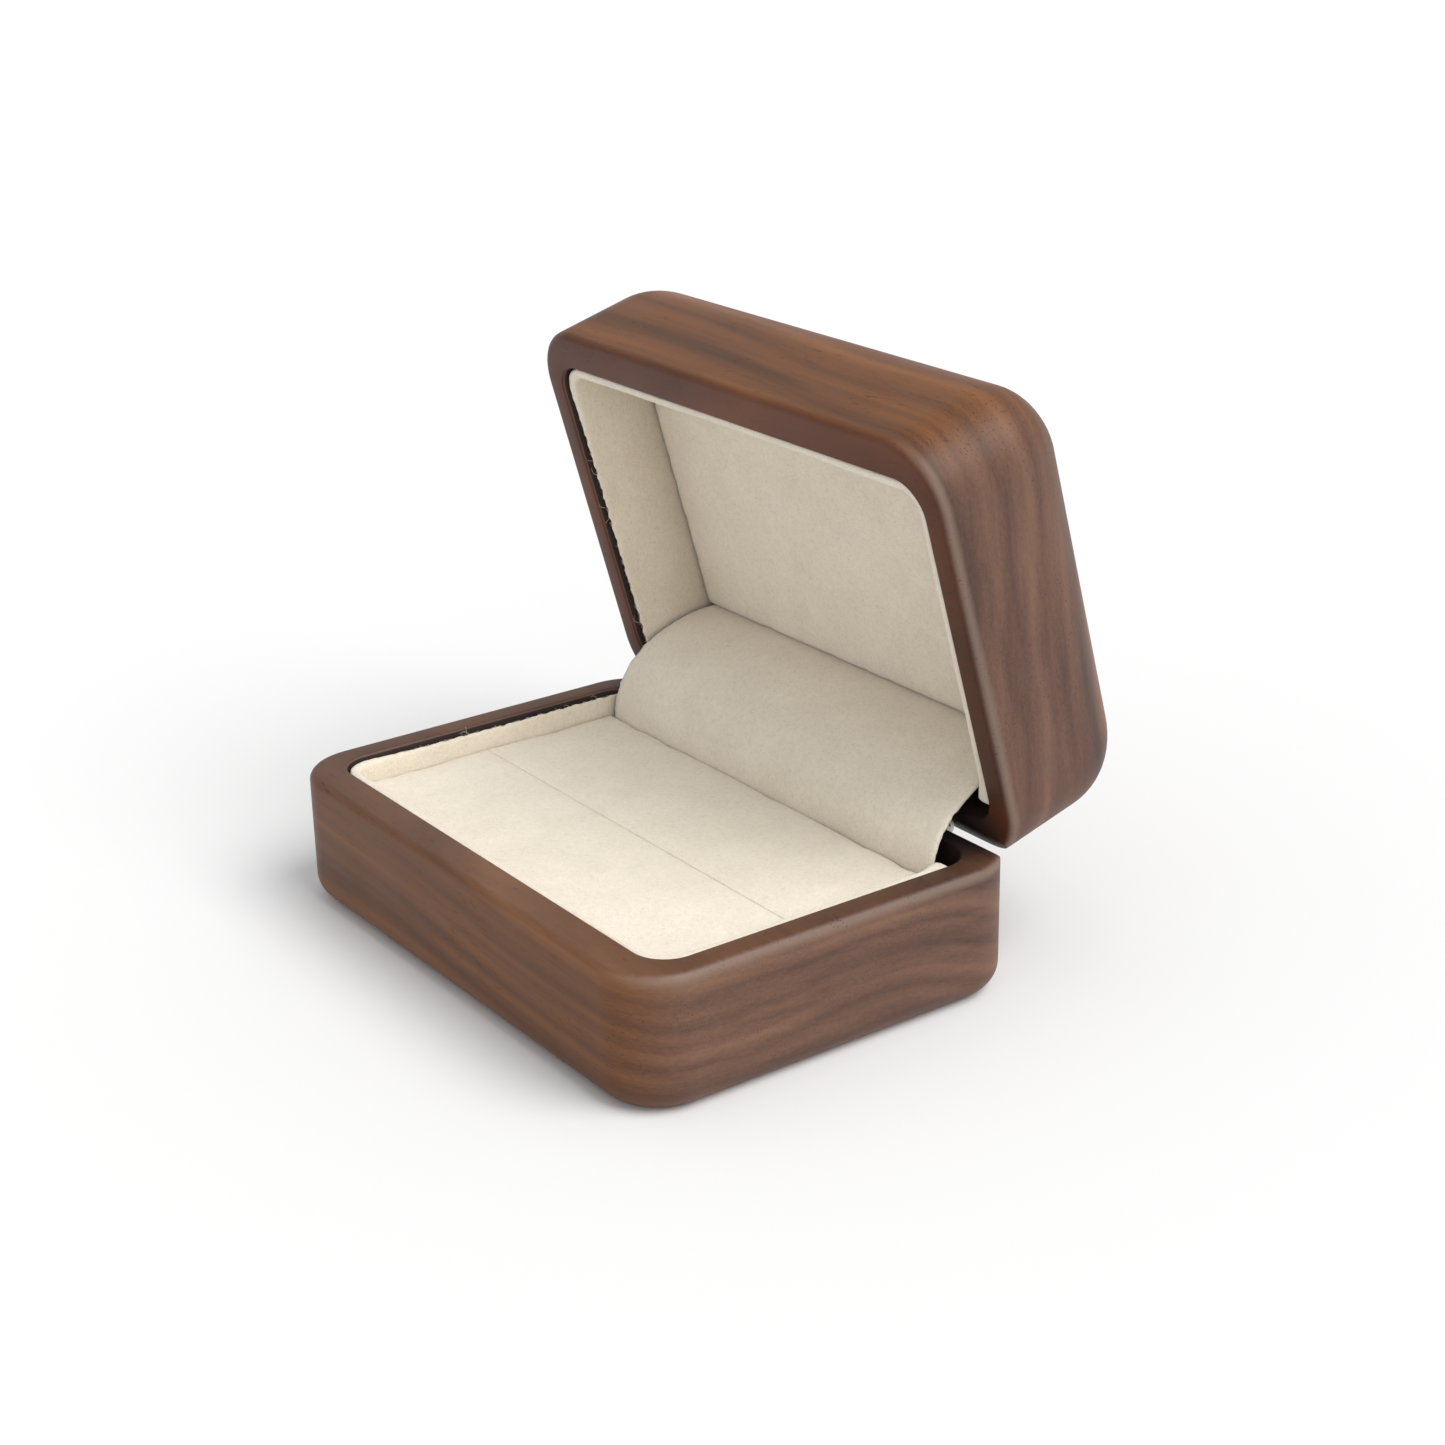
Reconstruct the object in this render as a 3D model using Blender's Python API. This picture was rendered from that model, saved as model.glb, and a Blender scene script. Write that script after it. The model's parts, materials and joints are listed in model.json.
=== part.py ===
"""Ring box: a hinged wooden box with a lined lid, a slotted ring cushion and a hidden snap hinge.

The base stands on Z = 0, centred on the origin, with the hinge at the back (+Y).
Lid pieces are drawn shut and hang on an empty on the hinge axis, which opens them.
All lengths are metres.
"""
import math

import bmesh
import bpy
from mathutils import Vector

MM = 0.001

# Driving dimensions
WIDTH = 75.0 * MM
DEPTH = 52.4 * MM
BASE_HEIGHT = 16.4 * MM
LID_HEIGHT = 20.6 * MM
SHUT_GAP = 0.3 * MM
LID_OPEN_DEG = 74.4

SIDE_WALL = 3.4 * MM
END_WALL = 4.7 * MM
BASE_FLOOR = 4.0 * MM
LID_ROOF = 6.0 * MM
BASE_CORNER_RADIUS = 7.4 * MM
LID_CORNER_RADIUS = 7.9 * MM
CAVITY_CORNER_RADIUS = 4.0 * MM
BASE_EDGE_RADIUS = 3.3 * MM
LID_EDGE_RADIUS = 9.5 * MM
RIM_ROUND = 1.0 * MM
INNER_RIM_ROUND = 0.3 * MM
TOP_CORNER_LEFT = 1.6 * MM

FIT_GAP = 0.3 * MM

HINGE_INSET = 2.0 * MM
HINGE_DROP = 0.3 * MM
HINGE_LENGTH = 52.0 * MM
LID_KNUCKLE_LENGTH = 17.8 * MM
LEAF_SHEET = 0.5 * MM
CURL_RADIUS = 0.9 * MM
PIN_RADIUS = 0.55 * MM
RELIEF_RADIUS = 1.5 * MM
LEAF_STAND = 3.25 * MM
BASE_LEAF_DROP = 6.6 * MM
BASE_LEAF_WAIST = 2.6 * MM
LID_LEAF_RISE = 7.5 * MM

BASE_BEVEL = (2.7 * MM, 2.0 * MM)
LID_BEVEL = (3.2 * MM, 1.85 * MM)

SPRING_SHEET = 0.4 * MM
SPRING_WIDTH = 14.0 * MM
SPRING_STAND = 4.1 * MM
SPRING_LEVEL = 1.65 * MM
SPRING_REACH = 0.6 * MM
SPRING_FOOT = 6.4 * MM

BRAD_SHANK_RADIUS = 0.4 * MM
BRAD_HEAD_RADIUS = 0.95 * MM
BRAD_HEAD_HEIGHT = 0.4 * MM
BRAD_HOLE_RADIUS = 0.55 * MM
BRAD_BITE = 3.0 * MM
LEAF_BRAD_X = (-21.0 * MM, -13.0 * MM, 13.0 * MM, 21.0 * MM)
SPRING_BRAD_X = (-4.0 * MM, 4.0 * MM)
BRAD_LEVEL = 4.8 * MM

LINER_CARD = 0.6 * MM
LINER_CLOTH = 0.4 * MM
LINER_END = 18.0 * MM
LINER_CARD_LIP = 2.0 * MM
LINER_CLOTH_LIP = 0.35 * MM

BOARD_THICKNESS = 1.2 * MM
BOARD_REAR = 21.0 * MM
CUSHION_TOP = 13.5 * MM
CUSHION_REAR = 17.3 * MM
CUSHION_ROUND = 0.7 * MM
REAR_CORNER_RADIUS = 0.8 * MM
SLOT_Y = -1.2 * MM
SLOT_WIDTH = 0.6 * MM

LID_PAD_THICKNESS = 2.0 * MM
LID_PAD_REAR = 17.6 * MM
LID_PAD_ROUND = 0.5 * MM

FLAP_WIDTH = 62.4 * MM
FLAP_REACH = 15.95 * MM
FLAP_RISE = 11.75 * MM
FLAP_FOOT = (-6.6 * MM, -2.65 * MM)
FLAP_TUCK_BASE = 4.85 * MM
FLAP_TUCK_LID = 2.5 * MM
FLAP_CLOTH = 0.4 * MM
FLAP_CARD = 0.5 * MM

# Worked out from the driving dimensions
HINGE_Y = DEPTH / 2 - HINGE_INSET
HINGE_Z = BASE_HEIGHT - HINGE_DROP
LID_RIM_Z = BASE_HEIGHT + SHUT_GAP
LID_TOP_Z = LID_RIM_Z + LID_HEIGHT
CAVITY_HALF_X = WIDTH / 2 - SIDE_WALL
CAVITY_HALF_Y = DEPTH / 2 - END_WALL
LINING_INSET = FIT_GAP + LINER_CARD + FIT_GAP + LINER_CLOTH
LINED_HALF_X = CAVITY_HALF_X - LINING_INSET
LINED_FRONT = -(CAVITY_HALF_Y - LINING_INSET)
LINED_CORNER_RADIUS = CAVITY_CORNER_RADIUS - LINING_INSET
LID_CEILING_Z = LID_TOP_Z - LID_ROOF

CORNER_STEPS = 10
BASE_EDGE_STEPS = 7
LID_EDGE_STEPS = 12
RIM_STEPS = 3
CURL_STEP_DEG = 15
SLAB_STEP_DEG = 18
ROUND_SIDES = 16
FLAP_STEPS = 16
SMOOTH_ANGLE = math.radians(35)


def clear_scene():
    for item in list(bpy.data.objects):
        bpy.data.objects.remove(item, do_unlink=True)


def make_material(name, colour, roughness, metallic=0.0):
    material = bpy.data.materials.new(name)
    material.use_nodes = True
    shader = material.node_tree.nodes["Principled BSDF"]
    shader.inputs["Base Color"].default_value = (*colour, 1.0)
    shader.inputs["Roughness"].default_value = roughness
    shader.inputs["Metallic"].default_value = metallic
    return material


def make_object(name, bm, material, parent=None):
    """Turn a closed bmesh into an object; pieces under a parent are given shut, in world places."""
    if parent is not None:
        bmesh.ops.translate(bm, vec=-parent.location, verts=bm.verts)
    bmesh.ops.recalc_face_normals(bm, faces=bm.faces)
    mesh = bpy.data.meshes.new(name)
    bm.to_mesh(mesh)
    bm.free()
    mesh.shade_smooth()
    mesh.set_sharp_from_angle(angle=SMOOTH_ANGLE)
    item = bpy.data.objects.new(name, mesh)
    bpy.context.collection.objects.link(item)
    item.parent = parent
    if material is not None:
        mesh.materials.append(material)
    return item


def make_cutter(name, bm, parent=None):
    cutter = make_object(name, bm, None, parent)
    cutter.hide_render = True
    cutter.display_type = "WIRE"
    return cutter


def cut(item, cutter):
    boolean = item.modifiers.new(cutter.name, "BOOLEAN")
    boolean.operation = "DIFFERENCE"
    boolean.solver = "EXACT"
    boolean.object = cutter


def make_hinge_empty():
    empty = bpy.data.objects.new("lid_pivot", None)
    empty.empty_display_size = 0.01
    empty.location = (0.0, HINGE_Y, HINGE_Z)
    empty.rotation_euler.x = -math.radians(LID_OPEN_DEG)
    bpy.context.collection.objects.link(empty)
    return empty


# Shapes

def plan_ring(half_x, half_y, radius):
    """Rectangle with round corners, anticlockwise from above."""
    points = []
    for turn, (side_x, side_y) in enumerate(((1, 1), (-1, 1), (-1, -1), (1, -1))):
        centre = Vector((side_x * (half_x - radius), side_y * (half_y - radius)))
        for step in range(CORNER_STEPS + 1):
            angle = math.radians(90) * (turn + step / CORNER_STEPS)
            points.append(centre + radius * Vector((math.cos(angle), math.sin(angle))))
    return points


def loft(rings):
    """Closed body through rings of equal length, capped at both ends."""
    bm = bmesh.new()
    loops = [[bm.verts.new(point) for point in ring] for ring in rings]
    for lower, upper in zip(loops, loops[1:]):
        for index in range(len(lower)):
            following = (index + 1) % len(lower)
            bm.faces.new((lower[index], lower[following], upper[following], upper[index]))
    bm.faces.new(reversed(loops[0]))
    bm.faces.new(loops[-1])
    return bm


def extrude_x(outline, x_low, x_high):
    """Closed prism along X through an outline of (y, z) points."""
    return loft([[(x, y, z) for y, z in outline] for x in (x_low, x_high)])


def extrude_z(outline, z_low, z_high):
    """Closed prism along Z through an outline of (x, y) points."""
    return loft([[(x, y, z) for x, y in outline] for z in (z_low, z_high)])


def block(low, high):
    """Plain box between two corners."""
    outline = [(low[0], low[1]), (high[0], low[1]), (high[0], high[1]), (low[0], high[1])]
    return extrude_z(outline, low[2], high[2])


def rounded_slab(low, high, front_radius, face_round=0.0):
    """Slab whose front corners fit inside the lining, with its upper edge eased if a radius is given."""
    rear_radius = min(front_radius, REAR_CORNER_RADIUS)
    outline = []
    for x, y, radius, start_deg in ((low[0], low[1], front_radius, 180), (high[0], low[1], front_radius, 270),
                                    (high[0], high[1], rear_radius, 0), (low[0], high[1], rear_radius, 90)):
        side_x = math.copysign(radius, x)
        side_y = radius if y == low[1] else -radius
        outline += arc(Vector((x - side_x, y + side_y)), radius, start_deg, start_deg + 90, SLAB_STEP_DEG)
    bm = extrude_z(outline, low[2], high[2])
    if face_round:
        rim = [edge for edge in bm.edges if min(vert.co.z for vert in edge.verts) > high[2] - FIT_GAP]
        bmesh.ops.bevel(bm, geom=rim, offset=face_round, segments=3, affect="EDGES", profile=0.5)
    return bm


def sheet_outline(path, near, far):
    """Outline of a bent sheet that lies between two distances to the right of a path."""
    sides = {near: [], far: []}
    for index, point in enumerate(path):
        before = (point - path[index - 1]).normalized() if index else None
        after = (path[index + 1] - point).normalized() if index + 1 < len(path) else before
        before = before or after
        mitre = (before + after).normalized()
        normal = Vector((mitre.y, -mitre.x))
        stretch = 1.0 / max(mitre.dot(after), 0.5)
        for distance, side in sides.items():
            side.append(point + normal * distance * stretch)
    return sides[near] + sides[far][::-1]


def turned_y(stations, x, z):
    """Round body along Y through (y, radius) stations."""
    rings = []
    for y, radius in stations:
        angles = [math.tau * step / ROUND_SIDES for step in range(ROUND_SIDES)]
        rings.append([(x + radius * math.cos(a), y, z + radius * math.sin(a)) for a in angles])
    return loft(rings)


def arc(centre, radius, start_deg, end_deg, step_deg):
    """Points on an arc, both ends included."""
    count = max(1, round(abs(end_deg - start_deg) / step_deg))
    angles = [math.radians(start_deg + (end_deg - start_deg) * i / count) for i in range(count + 1)]
    return [centre + radius * Vector((math.cos(a), math.sin(a))) for a in angles]


# Wooden shells

def shell_rings(height, floor, edge_radius, edge_steps, corner_radius, top_corner):
    """Rings of an open wooden cup, from the outer foot up over the rim and down to its floor."""
    rings = []

    def add(inset_x, inset_y, radius, z):
        ring = plan_ring(WIDTH / 2 - inset_x, DEPTH / 2 - inset_y, radius)
        rings.append([(x, y, z) for x, y in ring])

    for step in range(edge_steps + 1):
        angle = math.radians(90) * step / edge_steps
        inset = edge_radius * (1 - math.sin(angle))
        radius = corner_radius - (corner_radius - top_corner) * inset / edge_radius
        add(inset, inset, radius, edge_radius * (1 - math.cos(angle)))
    for step in range(RIM_STEPS + 1):
        angle = math.radians(90) * step / RIM_STEPS
        inset = RIM_ROUND * (1 - math.cos(angle))
        add(inset, inset, corner_radius - inset, height - RIM_ROUND * (1 - math.sin(angle)))
    for round_out, z in ((INNER_RIM_ROUND, height), (0.0, height - INNER_RIM_ROUND), (0.0, floor)):
        add(SIDE_WALL - round_out, END_WALL - round_out, CAVITY_CORNER_RADIUS + round_out, z)
    return rings


def make_base_shell(material):
    bm = loft(shell_rings(BASE_HEIGHT, BASE_FLOOR, BASE_EDGE_RADIUS, BASE_EDGE_STEPS,
                          BASE_CORNER_RADIUS, BASE_CORNER_RADIUS - BASE_EDGE_RADIUS))
    return make_object("base_shell", bm, material)


def make_lid_shell(material, pivot):
    rings = shell_rings(LID_HEIGHT, LID_ROOF, LID_EDGE_RADIUS, LID_EDGE_STEPS,
                        LID_CORNER_RADIUS, TOP_CORNER_LEFT)
    flipped = [[(x, y, LID_TOP_Z - z) for x, y, z in ring] for ring in rings]
    return make_object("lid_shell", loft(flipped), material, pivot)


def rear_bevel_cutter(name, rim_z, along_rim, down_face, up, parent=None):
    """Wedge that takes the corner between a rim and the rear face off, up being +1 or -1."""
    slope = down_face / along_rim
    spare = 4 * MM
    start = DEPTH / 2 - along_rim
    outline = [(start - spare, rim_z + up * slope * spare),
               (DEPTH / 2 + spare, rim_z - up * slope * (along_rim + spare)),
               (DEPTH / 2 + spare, rim_z + up * slope * spare)]
    return make_cutter(name, extrude_x(outline, -WIDTH, WIDTH), parent)


def hinge_relief_cutter(name, parent=None):
    """Room for the hinge barrel and its leaves in both rear rims."""
    front = HINGE_Y - LEAF_STAND - RELIEF_RADIUS
    centre = Vector((HINGE_Y, HINGE_Z))
    outline = [(front, HINGE_Z - RELIEF_RADIUS), *arc(centre, RELIEF_RADIUS, -90, 90, CURL_STEP_DEG),
               (front, HINGE_Z + RELIEF_RADIUS)]
    reach = HINGE_LENGTH / 2 + 2 * FIT_GAP
    return make_cutter(name, extrude_x(outline, -reach, reach), parent)


def spring_pocket_cutter():
    """Deeper pocket under the middle knuckle, where the snap spring works."""
    half = SPRING_WIDTH / 2 + 2 * FIT_GAP
    floor = HINGE_Z - SPRING_LEVEL - SPRING_SHEET / 2 - 2 * FIT_GAP
    low = (-half, HINGE_Y - SPRING_STAND - SPRING_SHEET, floor)
    return make_cutter("spring_pocket", block(low, (half, HINGE_Y + SPRING_REACH + FIT_GAP, HINGE_Z)))


# Hinge

def curl_path(side):
    """Curl of a leaf round the pin; side is -1 below the pin and +1 above it."""
    centre = Vector((HINGE_Y, HINGE_Z))
    return arc(centre, CURL_RADIUS, 90 * side, 90 * side - 270 * side, CURL_STEP_DEG)


def leaf_with_knuckle(side, reach, x_low, x_high):
    """One rolled stretch of a leaf: plate on the wall, foot along the rim, curl round the pin."""
    plate_y = HINGE_Y - LEAF_STAND
    path = [Vector((plate_y, HINGE_Z + side * reach)), Vector((plate_y, HINGE_Z + side * CURL_RADIUS))]
    path += curl_path(side)
    return extrude_x(sheet_outline(path, -LEAF_SHEET / 2, LEAF_SHEET / 2), x_low, x_high)


def leaf_plate(side, inner, outer, x_low, x_high):
    """Flat stretch of a leaf, between two distances from the pin."""
    levels = sorted((HINGE_Z + side * inner, HINGE_Z + side * outer))
    low = (x_low, HINGE_Y - LEAF_STAND - LEAF_SHEET / 2, levels[0])
    return block(low, (x_high, HINGE_Y - LEAF_STAND + LEAF_SHEET / 2, levels[1]))


def weld_bodies(name, bodies, material, parent=None):
    """One solid from several overlapping ones."""
    item = make_object(name, bodies[0], material, parent)
    for index, body in enumerate(bodies[1:]):
        tool = make_cutter(f"{name}_join_{index + 1}", body, parent)
        union = item.modifiers.new(tool.name, "BOOLEAN")
        union.operation = "UNION"
        union.solver = "EXACT"
        union.object = tool
    return item


def make_base_leaf(material):
    middle = LID_KNUCKLE_LENGTH / 2 + FIT_GAP
    end = HINGE_LENGTH / 2
    bodies = [leaf_plate(-1, BASE_LEAF_WAIST, BASE_LEAF_DROP, -middle - MM, middle + MM),
              leaf_with_knuckle(-1, BASE_LEAF_DROP, -end, -middle),
              leaf_with_knuckle(-1, BASE_LEAF_DROP, middle, end)]
    return weld_bodies("base_hinge_leaf", bodies, material)


def make_lid_leaf(material, pivot):
    middle = LID_KNUCKLE_LENGTH / 2
    end = HINGE_LENGTH / 2
    bodies = [leaf_with_knuckle(1, LID_LEAF_RISE, -middle, middle),
              leaf_plate(1, CURL_RADIUS, LID_LEAF_RISE, -end, -middle + MM),
              leaf_plate(1, CURL_RADIUS, LID_LEAF_RISE, middle - MM, end)]
    return weld_bodies("lid_hinge_leaf", bodies, material, pivot)


def make_pin(material):
    end = HINGE_LENGTH / 2 + FIT_GAP
    chamfer = PIN_RADIUS / 3
    rings = []
    for x, radius in ((-end, PIN_RADIUS - chamfer), (chamfer - end, PIN_RADIUS),
                      (end - chamfer, PIN_RADIUS), (end, PIN_RADIUS - chamfer)):
        angles = [math.tau * step / ROUND_SIDES for step in range(ROUND_SIDES)]
        rings.append([(x, HINGE_Y + radius * math.cos(a), HINGE_Z + radius * math.sin(a)) for a in angles])
    return make_object("hinge_pin", loft(rings), material)


def make_snap_spring(material):
    """Bent strip that presses on the middle knuckle from below."""
    stand = HINGE_Y - SPRING_STAND
    level = HINGE_Z - SPRING_LEVEL
    path = [Vector((stand, HINGE_Z - SPRING_FOOT)), Vector((stand, level)),
            Vector((HINGE_Y + SPRING_REACH, level))]
    outline = sheet_outline(path, -SPRING_SHEET / 2, SPRING_SHEET / 2)
    bm = extrude_x(outline, -SPRING_WIDTH / 2, SPRING_WIDTH / 2)
    return make_object("snap_spring", bm, material)


def brad(name, x, z, plate_front, material, parent=None):
    """Round-headed nail driven towards +Y through a plate and into the rear wall."""
    head = plate_front - FIT_GAP - BRAD_HEAD_HEIGHT
    tip = DEPTH / 2 - END_WALL + BRAD_BITE
    stations = [(head, BRAD_HEAD_RADIUS * 0.6), (head + BRAD_HEAD_HEIGHT / 2, BRAD_HEAD_RADIUS),
                (head + BRAD_HEAD_HEIGHT, BRAD_HEAD_RADIUS), (head + BRAD_HEAD_HEIGHT, BRAD_SHANK_RADIUS),
                (tip - 2 * BRAD_SHANK_RADIUS, BRAD_SHANK_RADIUS), (tip, BRAD_SHANK_RADIUS / 4)]
    return make_object(name, turned_y(stations, x, z), material, parent)


def brad_hole(name, x, z, parent=None):
    start = HINGE_Y - SPRING_STAND - 2 * SPRING_SHEET
    end = DEPTH / 2 - END_WALL + BRAD_BITE + FIT_GAP
    return make_cutter(name, turned_y([(start, BRAD_HOLE_RADIUS), (end, BRAD_HOLE_RADIUS)], x, z), parent)


def drive_brads(prefix, places, side, plate_front, drilled, material, parent=None):
    for number, x in enumerate(places, start=1):
        z = HINGE_Z + side * BRAD_LEVEL
        hole = brad_hole(f"{prefix}_hole_{number}", x, z, parent)
        for item in drilled:
            cut(item, hole)
        brad(f"{prefix}_{number}", x, z, plate_front, material, parent)


# Lining

def liner_outline(outer_inset, thickness):
    """Open U in plan along both sides and the front, standing off the cavity walls."""
    half_x = CAVITY_HALF_X - outer_inset
    half_y = CAVITY_HALF_Y - outer_inset
    radius = CAVITY_CORNER_RADIUS - outer_inset
    path = [Vector((-half_x, LINER_END))]
    path += arc(Vector((radius - half_x, radius - half_y)), radius, 180, 270, CURL_STEP_DEG)
    path += arc(Vector((half_x - radius, radius - half_y)), radius, 270, 360, CURL_STEP_DEG)
    path.append(Vector((half_x, LINER_END)))
    return sheet_outline(path, -thickness, 0.0)


def make_liner(name, outer_inset, thickness, z_low, z_high, material, parent=None):
    bm = extrude_z(liner_outline(outer_inset, thickness), z_low, z_high)
    return make_object(name, bm, material, parent)


def make_base_lining(card, cloth):
    cloth_inset = FIT_GAP + LINER_CARD + FIT_GAP
    foot = BASE_FLOOR + FIT_GAP
    make_liner("base_liner_card", FIT_GAP, LINER_CARD, foot, BASE_HEIGHT - LINER_CARD_LIP, card)
    make_liner("base_liner_fabric", cloth_inset, LINER_CLOTH, foot, BASE_HEIGHT - LINER_CLOTH_LIP, cloth)


def make_lid_lining(card, cloth, pivot):
    cloth_inset = FIT_GAP + LINER_CARD + FIT_GAP
    top = LID_CEILING_Z - FIT_GAP
    make_liner("lid_liner_card", FIT_GAP, LINER_CARD, LID_RIM_Z + LINER_CARD_LIP, top, card, pivot)
    make_liner("lid_liner_fabric", cloth_inset, LINER_CLOTH, LID_RIM_Z + LINER_CLOTH_LIP, top, cloth, pivot)


def make_cushions(card, cloth):
    half_x = LINED_HALF_X - FIT_GAP
    front = LINED_FRONT + FIT_GAP
    board_low = BASE_FLOOR + FIT_GAP
    board_high = board_low + BOARD_THICKNESS
    foot = board_high + FIT_GAP
    board = rounded_slab((-half_x, front, board_low), (half_x, BOARD_REAR, board_high), LINED_CORNER_RADIUS)
    make_object("cushion_board", board, card)
    spans = {"cushion_front": (front, SLOT_Y - SLOT_WIDTH / 2, LINED_CORNER_RADIUS),
             "cushion_rear": (SLOT_Y + SLOT_WIDTH / 2, CUSHION_REAR, REAR_CORNER_RADIUS)}
    for name, (low_y, high_y, radius) in spans.items():
        bm = rounded_slab((-half_x, low_y, foot), (half_x, high_y, CUSHION_TOP), radius, CUSHION_ROUND)
        make_object(name, bm, cloth)


def make_lid_panel(card, cloth, pivot):
    half_x = LINED_HALF_X - FIT_GAP
    front = LINED_FRONT + FIT_GAP
    card_high = LID_CEILING_Z - FIT_GAP
    card_low = card_high - BOARD_THICKNESS
    pad_high = card_low - FIT_GAP
    pad_low = pad_high - LID_PAD_THICKNESS
    bm = rounded_slab((-half_x, front, card_low), (half_x, LID_PAD_REAR, card_high), LINED_CORNER_RADIUS)
    make_object("lid_panel_card", bm, card, pivot)
    pad = rounded_slab((-half_x, front, -pad_high), (half_x, LID_PAD_REAR, -pad_low),
                       LINED_CORNER_RADIUS, LID_PAD_ROUND)
    bmesh.ops.scale(pad, vec=(1.0, 1.0, -1.0), verts=pad.verts)
    make_object("lid_panel_pad", pad, cloth, pivot)


# Hinge flap

def flap_path():
    """Side view of the flap with the lid open, from its foot behind the cushion up into the lid."""
    foot = Vector((HINGE_Y + FLAP_FOOT[0], HINGE_Z + FLAP_FOOT[1]))
    path = [foot - Vector((0.0, FLAP_TUCK_BASE))]
    for step in range(FLAP_STEPS + 1):
        angle = math.radians(90) * step / FLAP_STEPS
        path.append(foot + Vector((FLAP_REACH * (1 - math.cos(angle)), FLAP_RISE * math.sin(angle))))
    tilt = math.radians(90 - LID_OPEN_DEG)
    path.append(path[-1] + FLAP_TUCK_LID * Vector((math.cos(tilt), math.sin(tilt))))
    return path


def make_flap(card, cloth):
    path = flap_path()
    half = FLAP_WIDTH / 2
    card_near = FLAP_CLOTH + FIT_GAP
    cloth_bm = extrude_x(sheet_outline(path, 0.0, FLAP_CLOTH), -half, half)
    card_bm = extrude_x(sheet_outline(path, card_near, card_near + FLAP_CARD), MM - half, half - MM)
    make_object("hinge_flap_fabric", cloth_bm, cloth)
    make_object("hinge_flap_card", card_bm, card)


def build():
    clear_scene()
    walnut = make_material("walnut_wood", (0.17, 0.095, 0.062), 0.42)
    cloth = make_material("beige_suede", (0.62, 0.55, 0.45), 0.92)
    card = make_material("grey_card", (0.33, 0.31, 0.28), 0.85)
    steel = make_material("plated_steel", (0.62, 0.60, 0.56), 0.3, 1.0)
    spring = make_material("spring_steel", (0.32, 0.33, 0.36), 0.35, 1.0)
    brass = make_material("brass_nails", (0.72, 0.55, 0.28), 0.3, 1.0)

    pivot = make_hinge_empty()
    base = make_base_shell(walnut)
    lid = make_lid_shell(walnut, pivot)
    cut(base, rear_bevel_cutter("base_rear_bevel", BASE_HEIGHT, *BASE_BEVEL, 1))
    cut(lid, rear_bevel_cutter("lid_rear_bevel", LID_RIM_Z, *LID_BEVEL, -1, pivot))
    cut(base, hinge_relief_cutter("base_hinge_relief"))
    cut(lid, hinge_relief_cutter("lid_hinge_relief", pivot))
    cut(base, spring_pocket_cutter())

    base_leaf = make_base_leaf(steel)
    lid_leaf = make_lid_leaf(steel, pivot)
    make_pin(steel)
    snap_spring = make_snap_spring(spring)
    leaf_front = HINGE_Y - LEAF_STAND - LEAF_SHEET / 2
    spring_front = HINGE_Y - SPRING_STAND - SPRING_SHEET / 2
    drive_brads("base_hinge_brad", LEAF_BRAD_X, -1, leaf_front, (base, base_leaf), brass)
    drive_brads("spring_brad", SPRING_BRAD_X, -1, spring_front, (base, base_leaf, snap_spring), brass)
    drive_brads("lid_hinge_brad", LEAF_BRAD_X, 1, leaf_front, (lid, lid_leaf), brass, pivot)

    make_base_lining(card, cloth)
    make_cushions(card, cloth)
    make_lid_lining(card, cloth, pivot)
    make_lid_panel(card, cloth, pivot)
    make_flap(card, cloth)


build()
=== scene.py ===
"""Looks of the ring box: walnut shells, suede lining and cushion, hinge metals, light and camera.

Everything is in metres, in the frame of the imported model. Lid pieces are built shut and are
turned open about the hinge, so that one grain runs through both halves.
"""
import json
import math
import random

import bmesh
import bpy
from mathutils import Matrix, Vector, noise


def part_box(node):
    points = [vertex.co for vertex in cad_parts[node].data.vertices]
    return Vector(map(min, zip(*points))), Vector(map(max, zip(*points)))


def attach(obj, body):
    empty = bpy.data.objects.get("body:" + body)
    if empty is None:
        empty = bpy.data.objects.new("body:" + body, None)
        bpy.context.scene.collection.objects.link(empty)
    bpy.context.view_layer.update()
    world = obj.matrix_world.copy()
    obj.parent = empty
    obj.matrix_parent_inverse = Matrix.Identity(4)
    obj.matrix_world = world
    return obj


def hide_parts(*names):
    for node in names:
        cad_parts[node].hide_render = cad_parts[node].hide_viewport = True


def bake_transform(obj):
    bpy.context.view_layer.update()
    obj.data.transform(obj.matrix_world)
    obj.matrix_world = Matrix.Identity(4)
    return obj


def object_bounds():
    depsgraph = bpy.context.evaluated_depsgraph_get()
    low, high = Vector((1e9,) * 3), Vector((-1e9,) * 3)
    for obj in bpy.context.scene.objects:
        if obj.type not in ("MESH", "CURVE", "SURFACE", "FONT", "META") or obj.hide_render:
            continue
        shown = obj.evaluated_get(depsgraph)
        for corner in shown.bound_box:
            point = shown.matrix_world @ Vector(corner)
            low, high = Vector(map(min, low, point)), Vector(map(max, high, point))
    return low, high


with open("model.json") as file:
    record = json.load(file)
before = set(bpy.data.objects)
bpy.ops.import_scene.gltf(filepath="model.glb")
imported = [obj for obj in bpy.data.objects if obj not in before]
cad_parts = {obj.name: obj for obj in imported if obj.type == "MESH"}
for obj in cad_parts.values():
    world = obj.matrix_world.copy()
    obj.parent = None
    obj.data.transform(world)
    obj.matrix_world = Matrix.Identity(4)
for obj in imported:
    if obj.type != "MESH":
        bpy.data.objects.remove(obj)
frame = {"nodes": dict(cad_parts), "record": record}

CAD_LOW, CAD_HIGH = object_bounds()
MM = 0.001
IN_MILLIMETRES = (1 / MM,) * 3

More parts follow.
